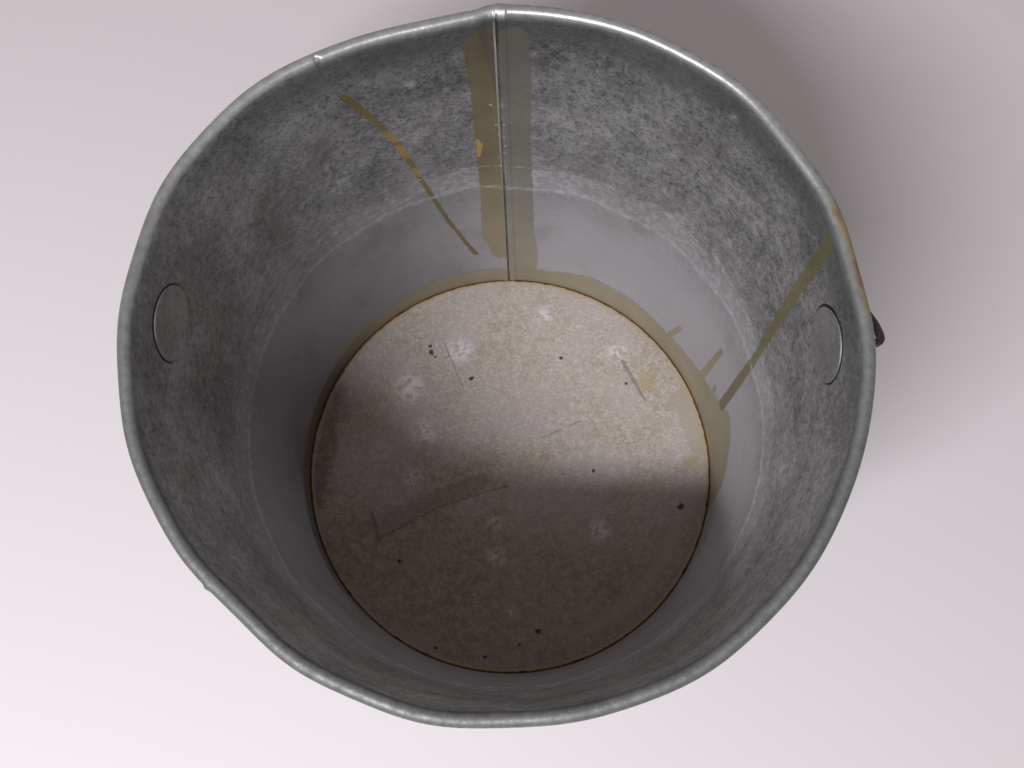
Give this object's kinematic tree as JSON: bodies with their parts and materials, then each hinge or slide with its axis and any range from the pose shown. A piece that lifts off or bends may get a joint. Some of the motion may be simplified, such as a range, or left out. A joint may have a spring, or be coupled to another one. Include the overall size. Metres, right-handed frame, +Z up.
{
  "type": "galvanized bucket",
  "caption": "Old galvanized steel bucket: tapered sheet body with a rolled rim and a folded side seam, let-in bottom, domed ears and a swinging rusty wire bail.",
  "frame": {"origin": "centre of the foot, on the floor", "axes": "+Z up; X along the bail's pivot, with the right-hand ear at +X; the side seam and the hanging bail are at the back, +Y"},
  "size_m": [0.3358, 0.3, 0.277],
  "materials": {
    "galvanized_sheet": "hot-dip galvanized, spangle dulled and dirty",
    "bottom_sheet": "galvanized, caked with dried dirt",
    "rim_wire": "plain drawn wire",
    "ear_stampings": "hot-dip galvanized",
    "bail_wire": "dark rusted wire"
  },
  "bodies": {
    "bucket": {"wall": "galvanized_sheet", "bottom": "bottom_sheet", "rim_wire": "rim_wire", "ear_left": "ear_stampings", "ear_right": "ear_stampings", "ear_plate_left": "ear_stampings", "ear_plate_right": "ear_stampings"},
    "bail": {"bail": "bail_wire"}
  },
  "joints": [
    {"name": "bail_swing", "type": "hinge", "parent": "bucket", "child": "bail", "pos_m": [0, 0.012, 0.24], "axis": [1, 0, 0], "range_deg": [0, 274]}
  ]
}
